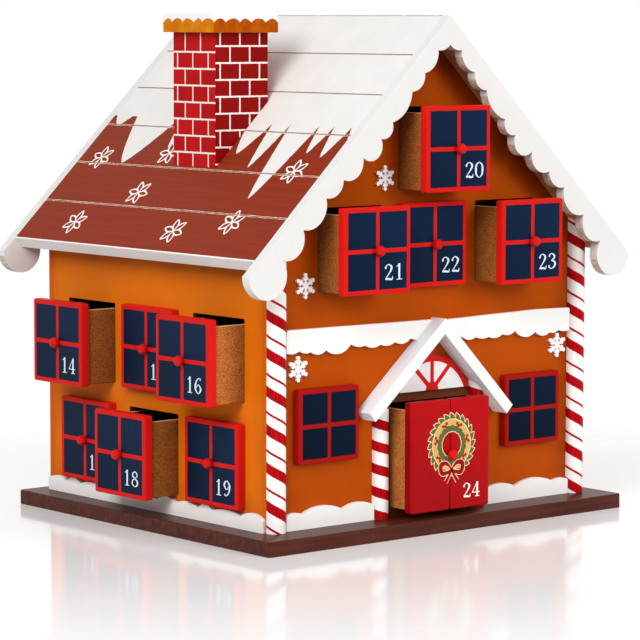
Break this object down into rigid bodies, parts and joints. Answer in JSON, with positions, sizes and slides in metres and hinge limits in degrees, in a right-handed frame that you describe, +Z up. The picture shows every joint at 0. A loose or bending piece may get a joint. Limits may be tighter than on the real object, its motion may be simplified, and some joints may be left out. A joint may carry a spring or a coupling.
{
  "type": "advent calendar house",
  "caption": "Painted wooden gingerbread-house advent calendar with numbered sliding drawers in its walls, a door drawer under a porch, a snowy plank roof and a chimney.",
  "frame": {"origin": "middle of the base plate's underside", "axes": "+X to the right seen from the front, +Y towards the back, +Z up; the gable with the door faces -Y"},
  "size_m": [0.358, 0.3075, 0.3578],
  "materials": {
    "base_paint": "satin brown paint",
    "wall_paint": "satin orange paint, airbrushed darker at the edges",
    "bare_board": "bare fibreboard",
    "roof_paint": "satin white and brown paint",
    "icing_paint": "satin white paint",
    "brick_paint": "satin red paint with white joints",
    "cap_paint": "satin orange and white paint",
    "candy_paint": "satin red and white stripes",
    "fanlight_paint": "satin white paint with red bars",
    "window_paint": "satin red and navy paint",
    "door_paint": "satin red paint"
  },
  "bodies": {
    "house": {"base_plate": "base_paint", "front_wall": "wall_paint", "back_wall": "wall_paint", "left_wall": "wall_paint", "right_wall": "wall_paint", "left_bay_wall": "bare_board", "right_bay_wall": "bare_board", "left_bay_shelves": "bare_board", "right_bay_shelves": "bare_board", "back_bay_shelves": "bare_board", "door_floor": "bare_board", "attic_floor": "bare_board", "gable_rack": "bare_board", "back_attic_dividers": "bare_board", "left_roof_panel": "roof_paint", "right_roof_panel": "roof_paint", "front_left_bargeboard": "icing_paint", "front_right_bargeboard": "icing_paint", "back_left_bargeboard": "icing_paint", "back_right_bargeboard": "icing_paint", "left_porch_board": "icing_paint", "right_porch_board": "icing_paint", "storey_snow_band": "icing_paint", "front_snow_drifts": "icing_paint", "left_snow_drift": "icing_paint", "right_snow_drift": "icing_paint", "back_snow_drift": "icing_paint", "snowflakes": "icing_paint", "chimney_stack": "brick_paint", "chimney_cap": "cap_paint", "left_corner_post": "candy_paint", "right_corner_post": "candy_paint", "left_porch_column": "candy_paint", "right_porch_column": "candy_paint", "fanlight": "fanlight_paint", "false_windows": "window_paint"},
    "drawer_01": {"drawer_01": "window_paint"},
    "drawer_02": {"drawer_02": "window_paint"},
    "drawer_03": {"drawer_03": "window_paint"},
    "drawer_04": {"drawer_04": "window_paint"},
    "drawer_05": {"drawer_05": "window_paint"},
    "drawer_06": {"drawer_06": "window_paint"},
    "drawer_07": {"drawer_07": "window_paint"},
    "drawer_08": {"drawer_08": "window_paint"},
    "drawer_09": {"drawer_09": "window_paint"},
    "drawer_10": {"drawer_10": "window_paint"},
    "drawer_11": {"drawer_11": "window_paint"},
    "drawer_12": {"drawer_12": "window_paint"},
    "drawer_13": {"drawer_13": "window_paint"},
    "drawer_14": {"drawer_14": "window_paint"},
    "drawer_15": {"drawer_15": "window_paint"},
    "drawer_16": {"drawer_16": "window_paint"},
    "drawer_17": {"drawer_17": "window_paint"},
    "drawer_18": {"drawer_18": "window_paint"},
    "drawer_19": {"drawer_19": "window_paint"},
    "drawer_20": {"drawer_20": "window_paint"},
    "drawer_21": {"drawer_21": "window_paint"},
    "drawer_22": {"drawer_22": "window_paint"},
    "drawer_23": {"drawer_23": "window_paint"},
    "drawer_24": {"drawer_24": "door_paint"}
  },
  "joints": [
    {"name": "drawer_01_slide", "type": "slide", "parent": "house", "child": "drawer_01", "axis": [0, 1, 0], "range_m": [0, 0.05]},
    {"name": "drawer_02_slide", "type": "slide", "parent": "house", "child": "drawer_02", "axis": [0, 1, 0], "range_m": [0, 0.05]},
    {"name": "drawer_03_slide", "type": "slide", "parent": "house", "child": "drawer_03", "axis": [0, 1, 0], "range_m": [0, 0.05]},
    {"name": "drawer_04_slide", "type": "slide", "parent": "house", "child": "drawer_04", "axis": [0, 1, 0], "range_m": [0, 0.05]},
    {"name": "drawer_05_slide", "type": "slide", "parent": "house", "child": "drawer_05", "axis": [0, 1, 0], "range_m": [0, 0.05]},
    {"name": "drawer_06_slide", "type": "slide", "parent": "house", "child": "drawer_06", "axis": [0, 1, 0], "range_m": [0, 0.05]},
    {"name": "drawer_07_slide", "type": "slide", "parent": "house", "child": "drawer_07", "axis": [0, 1, 0], "range_m": [0, 0.05]},
    {"name": "drawer_08_slide", "type": "slide", "parent": "house", "child": "drawer_08", "axis": [1, 0, 0], "range_m": [0, 0.05]},
    {"name": "drawer_09_slide", "type": "slide", "parent": "house", "child": "drawer_09", "axis": [1, 0, 0], "range_m": [0, 0.05]},
    {"name": "drawer_10_slide", "type": "slide", "parent": "house", "child": "drawer_10", "axis": [1, 0, 0], "range_m": [0, 0.05]},
    {"name": "drawer_11_slide", "type": "slide", "parent": "house", "child": "drawer_11", "axis": [1, 0, 0], "range_m": [0, 0.05]},
    {"name": "drawer_12_slide", "type": "slide", "parent": "house", "child": "drawer_12", "axis": [1, 0, 0], "range_m": [0, 0.05]},
    {"name": "drawer_13_slide", "type": "slide", "parent": "house", "child": "drawer_13", "axis": [1, 0, 0], "range_m": [0, 0.05]},
    {"name": "drawer_14_slide", "type": "slide", "parent": "house", "child": "drawer_14", "axis": [-1, 0, 0], "range_m": [-0.0235, 0.0265]},
    {"name": "drawer_15_slide", "type": "slide", "parent": "house", "child": "drawer_15", "axis": [-1, 0, 0], "range_m": [0, 0.05]},
    {"name": "drawer_16_slide", "type": "slide", "parent": "house", "child": "drawer_16", "axis": [-1, 0, 0], "range_m": [-0.0245, 0.0255]},
    {"name": "drawer_17_slide", "type": "slide", "parent": "house", "child": "drawer_17", "axis": [-1, 0, 0], "range_m": [0, 0.05]},
    {"name": "drawer_18_slide", "type": "slide", "parent": "house", "child": "drawer_18", "axis": [-1, 0, 0], "range_m": [-0.023, 0.027]},
    {"name": "drawer_19_slide", "type": "slide", "parent": "house", "child": "drawer_19", "axis": [-1, 0, 0], "range_m": [0, 0.05]},
    {"name": "drawer_20_slide", "type": "slide", "parent": "house", "child": "drawer_20", "axis": [0, -1, 0], "range_m": [-0.0235, 0.0265]},
    {"name": "drawer_21_slide", "type": "slide", "parent": "house", "child": "drawer_21", "axis": [0, -1, 0], "range_m": [-0.022, 0.028]},
    {"name": "drawer_22_slide", "type": "slide", "parent": "house", "child": "drawer_22", "axis": [0, -1, 0], "range_m": [0, 0.05]},
    {"name": "drawer_23_slide", "type": "slide", "parent": "house", "child": "drawer_23", "axis": [0, -1, 0], "range_m": [-0.0225, 0.0275]},
    {"name": "drawer_24_slide", "type": "slide", "parent": "house", "child": "drawer_24", "axis": [0, -1, 0], "range_m": [-0.017, 0.033]}
  ]
}
